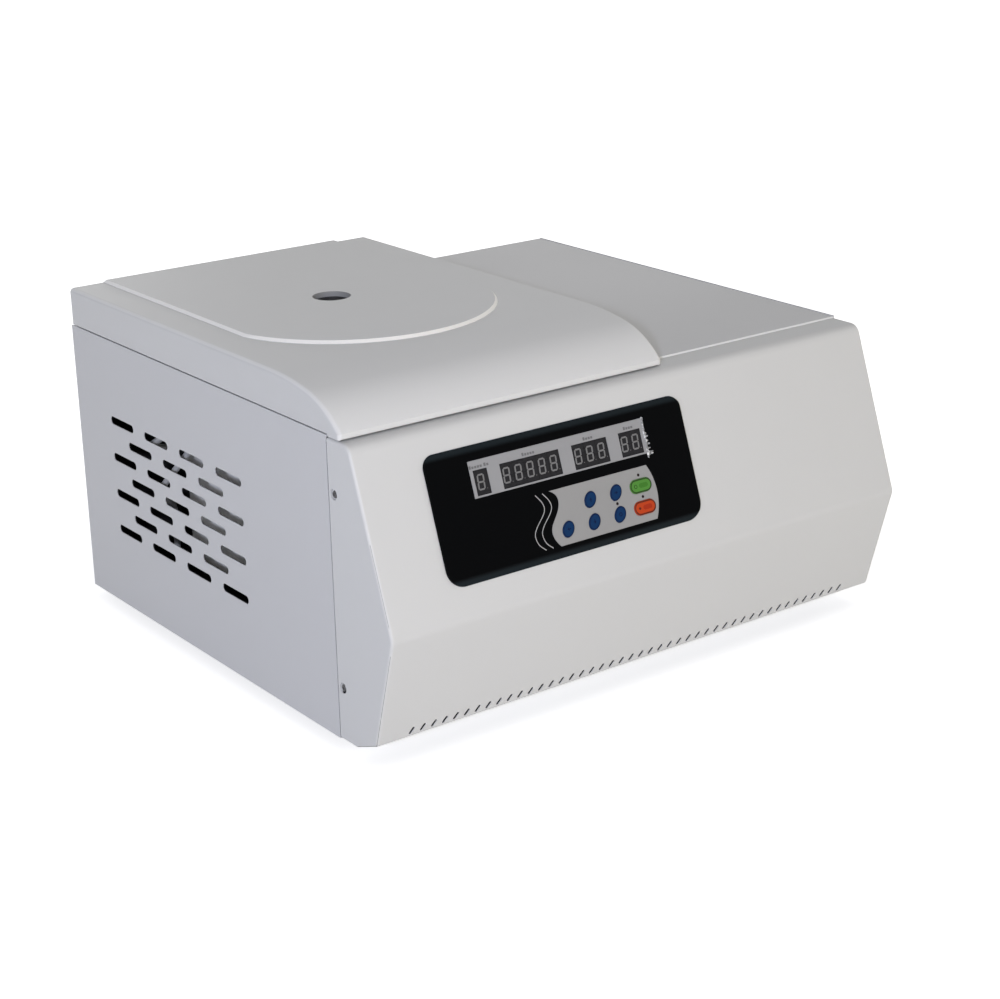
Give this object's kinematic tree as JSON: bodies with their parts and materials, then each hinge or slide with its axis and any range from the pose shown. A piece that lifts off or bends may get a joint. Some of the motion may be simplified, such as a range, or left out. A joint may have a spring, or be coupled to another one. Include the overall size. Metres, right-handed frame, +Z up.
{
  "type": "microplate centrifuge",
  "caption": "Refrigerated bench centrifuge for microplates: boxy cabinet, sloping front with control panel, hinged lid on the left over a steel bowl with swing-out plate carriers.",
  "frame": {"origin": "middle of the bounding box's footprint, on the surface the feet stand on", "axes": "+Z up, front with the control panel towards -Y, lid on the -X side"},
  "size_m": [0.6, 0.5776, 0.335],
  "materials": {
    "cabinet_paint": "fine-texture powder coat, off-white",
    "bezel_plastic": "smooth satin moulding, off-white",
    "lid_plastic": "smooth satin moulding, off-white",
    "panel_black": "glossy black",
    "strip_grey": "satin light grey film",
    "digit_dark": "smoked lens",
    "overlay_grey": "satin light grey film",
    "key_blue": "satin blue",
    "key_green": "satin green",
    "key_orange": "satin orange-red",
    "lamp_dark": "unlit lamp",
    "board_green": "printed circuit board",
    "zinc_steel": "zinc plated",
    "stainless": "deep-drawn stainless",
    "copper": "bare copper",
    "foam": "rigid foam",
    "rubber_black": "moulded rubber",
    "rubber_grey": "soft seal",
    "drum_paint": "light grey paint",
    "motor_paint": "dark enamel",
    "compressor_paint": "black enamel",
    "alloy": "machined",
    "carrier_alloy": "bead blasted, anodised",
    "window_clear": "clear polycarbonate",
    "trim_grey": "dark ring",
    "inlet_black": "moulded black",
    "pin_brass": "nickel-plated brass"
  },
  "bodies": {
    "cabinet": {"base_pan": "cabinet_paint", "left_side_panel": "cabinet_paint", "right_side_panel": "cabinet_paint", "rear_panel": "cabinet_paint", "rear_panel_screws": "zinc_steel", "right_top_cover": "cabinet_paint", "chamber_deck": "cabinet_paint", "rubber_feet": "rubber_black", "front_bezel": "bezel_plastic", "bezel_side_screws": "zinc_steel", "control_panel": "panel_black", "display_strip": "strip_grey", "digit_modules": "digit_dark", "keypad_overlay": "overlay_grey", "indicator_lamps": "lamp_dark", "display_board": "board_green", "chamber_gasket": "rubber_grey", "hinge_brackets": "zinc_steel", "hinge_pins": "zinc_steel", "chamber_bowl": "stainless", "evaporator_coil": "copper", "chamber_insulation": "foam", "chamber_drum": "drum_paint", "motor_mount": "zinc_steel", "motor_dampers": "rubber_black", "motor_housing": "motor_paint", "motor_bearings": "stainless", "lock_frame": "zinc_steel", "lock_solenoid": "inlet_black", "compressor": "compressor_paint", "condenser": "alloy", "fan_shroud": "inlet_black", "fan_motor": "motor_paint", "refrigerant_pipes": "copper", "power_inlet": "inlet_black", "inlet_pins": "pin_brass", "control_board": "board_green"},
    "lid": {"lid_shell": "lid_plastic", "lid_liner": "stainless", "lid_screws": "zinc_steel", "window_ring": "trim_grey", "lid_window": "window_clear", "hinge_leaves": "zinc_steel", "lid_striker": "zinc_steel"},
    "rotor": {"motor_shaft": "stainless", "rotor_yoke": "alloy", "rotor_nut": "alloy", "trunnion_pins": "stainless"},
    "front_carrier": {"front_plate_carrier": "carrier_alloy"},
    "rear_carrier": {"rear_plate_carrier": "carrier_alloy"},
    "bolt": {"lock_bolt": "stainless"},
    "fan": {"fan_blades": "inlet_black"},
    "rocker": {"power_rocker": "inlet_black"},
    "blue_key_1_body": {"blue_key_1": "key_blue"},
    "blue_key_2_body": {"blue_key_2": "key_blue"},
    "blue_key_3_body": {"blue_key_3": "key_blue"},
    "blue_key_4_body": {"blue_key_4": "key_blue"},
    "blue_key_5_body": {"blue_key_5": "key_blue"},
    "start_key_body": {"start_key": "key_green"},
    "stop_key_body": {"stop_key": "key_orange"}
  },
  "joints": [
    {"name": "lid_hinge", "type": "hinge", "parent": "cabinet", "child": "lid", "pos_m": [-0.1225, 0.28335, 0.29225], "axis": [-1, 0, 0], "range_deg": [0, 78]},
    {"name": "rotor_spin", "type": "hinge", "parent": "cabinet", "child": "rotor", "pos_m": [-0.125, 0.06085, 0.2], "axis": [0, 0, 1], "continuous": true},
    {"name": "front_carrier_swing", "type": "hinge", "parent": "rotor", "child": "front_carrier", "pos_m": [-0.125, 0.00085, 0.2], "axis": [-1, 0, 0], "range_deg": [0, 90]},
    {"name": "rear_carrier_swing", "type": "hinge", "parent": "rotor", "child": "rear_carrier", "pos_m": [-0.125, 0.12085, 0.2], "axis": [1, 0, 0], "range_deg": [0, 90]},
    {"name": "lock_bolt_slide", "type": "slide", "parent": "cabinet", "child": "bolt", "axis": [0, 1, 0], "range_m": [0, 0.014], "stiffness_N_per_m": 150, "springref_m": -0.003},
    {"name": "fan_spin", "type": "hinge", "parent": "cabinet", "child": "fan", "pos_m": [0.178, 0.26485, 0.132], "axis": [0, 1, 0], "continuous": true},
    {"name": "power_rocker_tilt", "type": "hinge", "parent": "cabinet", "child": "rocker", "pos_m": [-0.23, 0.27185, 0.088], "axis": [1, 0, 0], "range_deg": [0, 18]},
    {"name": "blue_key_1_press", "type": "slide", "parent": "cabinet", "child": "blue_key_1_body", "axis": [0, 0.9434, -0.3318], "range_m": [0, 0.0005], "stiffness_N_per_m": 400, "springref_m": -0.001},
    {"name": "blue_key_2_press", "type": "slide", "parent": "cabinet", "child": "blue_key_2_body", "axis": [0, 0.9434, -0.3318], "range_m": [0, 0.0005], "stiffness_N_per_m": 400, "springref_m": -0.001},
    {"name": "blue_key_3_press", "type": "slide", "parent": "cabinet", "child": "blue_key_3_body", "axis": [0, 0.9434, -0.3318], "range_m": [0, 0.0005], "stiffness_N_per_m": 400, "springref_m": -0.001},
    {"name": "blue_key_4_press", "type": "slide", "parent": "cabinet", "child": "blue_key_4_body", "axis": [0, 0.9434, -0.3318], "range_m": [0, 0.0005], "stiffness_N_per_m": 400, "springref_m": -0.001},
    {"name": "blue_key_5_press", "type": "slide", "parent": "cabinet", "child": "blue_key_5_body", "axis": [0, 0.9434, -0.3318], "range_m": [0, 0.0005], "stiffness_N_per_m": 400, "springref_m": -0.001},
    {"name": "start_key_press", "type": "slide", "parent": "cabinet", "child": "start_key_body", "axis": [0, 0.9434, -0.3318], "range_m": [0, 0.0005], "stiffness_N_per_m": 400, "springref_m": -0.001},
    {"name": "stop_key_press", "type": "slide", "parent": "cabinet", "child": "stop_key_body", "axis": [0, 0.9434, -0.3318], "range_m": [0, 0.0005], "stiffness_N_per_m": 400, "springref_m": -0.001}
  ]
}
